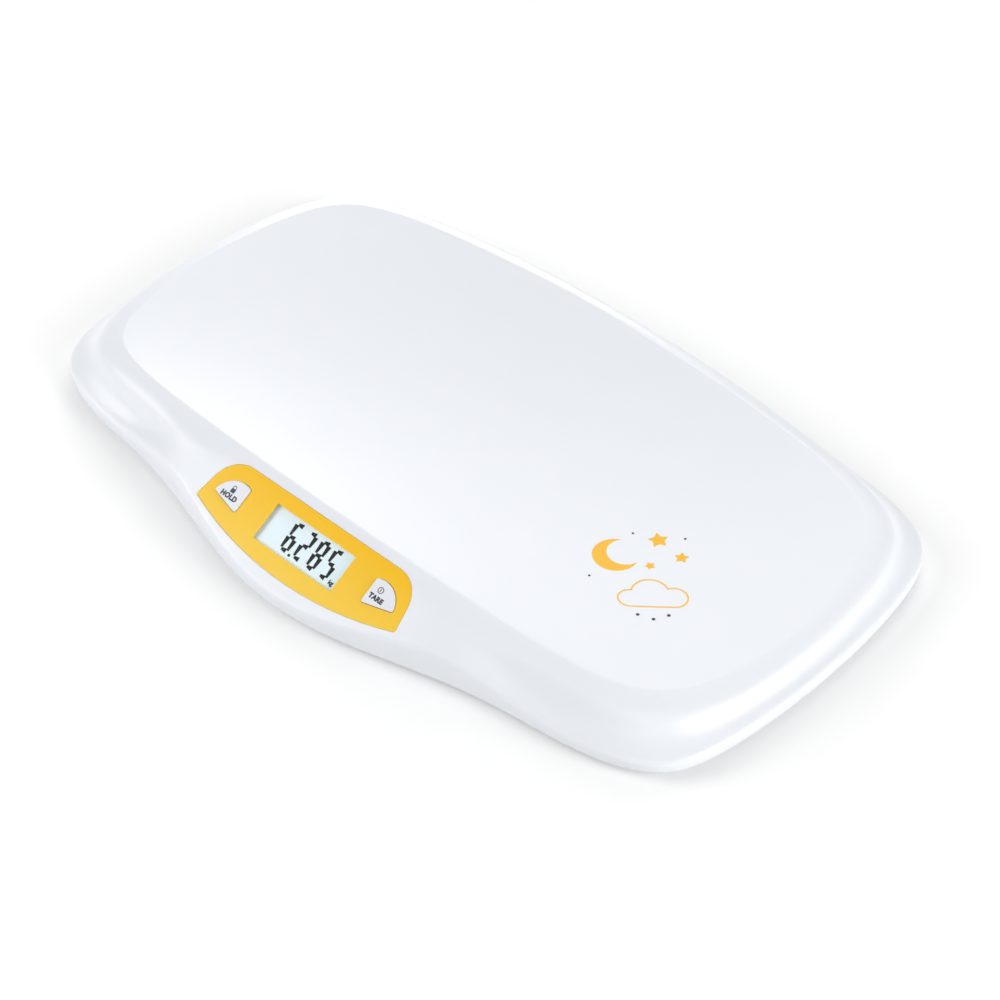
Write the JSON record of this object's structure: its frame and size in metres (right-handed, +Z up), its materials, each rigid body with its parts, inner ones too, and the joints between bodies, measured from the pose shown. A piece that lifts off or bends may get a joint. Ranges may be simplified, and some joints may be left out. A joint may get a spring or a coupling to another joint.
{
  "type": "digital baby weighing scale",
  "caption": "Low digital baby scale with a shallow cradle-shaped tray, a sloping front panel with a display between push keys, rubber feet and a hinged battery lid below.",
  "frame": {"origin": "middle of the outline's bounding box, on the surface that the rubber feet stand on", "axes": "+X along the long side, -Y towards the side with the display and keys, +Z up"},
  "size_m": [0.555, 0.3328, 0.0455],
  "materials": {
    "shell_white": "white moulded plastic with a soft satin gloss",
    "cover_white": "white moulded plastic, fine matt texture",
    "face_yellow": "warm yellow sheet, darker towards its top edge, satin",
    "key_white": "pale grey-white moulded keys with printed words",
    "window_clear": "clear plastic window",
    "lcd_glass": "pale blue-grey liquid crystal glass",
    "plastic_natural": "off-white inner mouldings",
    "rubber_grey": "grey rubber",
    "strip_rubber": "conductive rubber strips",
    "board_green": "green circuit board",
    "chip_black": "black epoxy",
    "switch_black": "black moulded switch body",
    "zinc_steel": "bright zinc-plated steel",
    "nickel_steel": "nickel-plated spring steel",
    "gauge_sealant": "white sealant over the strain gauge",
    "lead_jacket": "black cable jacket",
    "battery_wrap": "dark plain battery sleeve",
    "label_silver": "bare silver-grey label"
  },
  "bodies": {
    "housing": {"top_shell": "shell_white", "bottom_cover": "cover_white", "faceplate": "face_yellow", "display_window": "window_clear", "lcd_glass": "lcd_glass", "lcd_frame": "plastic_natural", "contact_strips": "strip_rubber", "main_board": "board_green", "main_chip": "chip_black", "board_headers": "plastic_natural", "board_screws": "zinc_steel", "hold_switch": "switch_black", "tare_switch": "switch_black", "strain_gauges": "gauge_sealant", "carrier_screws": "zinc_steel", "housing_screws": "zinc_steel", "battery_plates": "nickel_steel", "battery_springs": "nickel_steel", "battery_1": "battery_wrap", "battery_2": "battery_wrap", "battery_3": "battery_wrap", "battery_lead": "lead_jacket", "rating_label": "label_silver", "load_cell_front_left": "zinc_steel", "cell_carrier_front_left": "plastic_natural", "foot_front_left": "cover_white", "foot_pad_front_left": "rubber_grey", "cell_lead_front_left": "lead_jacket", "load_cell_front_right": "zinc_steel", "cell_carrier_front_right": "plastic_natural", "foot_front_right": "cover_white", "foot_pad_front_right": "rubber_grey", "cell_lead_front_right": "lead_jacket", "load_cell_back_left": "zinc_steel", "cell_carrier_back_left": "plastic_natural", "foot_back_left": "cover_white", "foot_pad_back_left": "rubber_grey", "cell_lead_back_left": "lead_jacket", "load_cell_back_right": "zinc_steel", "cell_carrier_back_right": "plastic_natural", "foot_back_right": "cover_white", "foot_pad_back_right": "rubber_grey", "cell_lead_back_right": "lead_jacket"},
    "hold_key": {"hold_button": "key_white", "hold_plunger": "plastic_natural"},
    "tare_key": {"tare_button": "key_white", "tare_plunger": "plastic_natural"},
    "battery_lid": {"battery_door": "cover_white"}
  },
  "joints": [
    {"name": "hold_button_press", "type": "slide", "parent": "housing", "child": "hold_key", "axis": [0, 0.5, -0.866], "range_m": [0, 0.0008], "stiffness_N_per_m": 2500, "springref_m": -0.0004},
    {"name": "tare_button_press", "type": "slide", "parent": "housing", "child": "tare_key", "axis": [0, 0.5, -0.866], "range_m": [0, 0.0008], "stiffness_N_per_m": 2500, "springref_m": -0.0004},
    {"name": "battery_lid_hinge", "type": "hinge", "parent": "housing", "child": "battery_lid", "pos_m": [0, 0.0693, 0.0074], "axis": [1, 0, 0], "range_deg": [0, 90]}
  ]
}
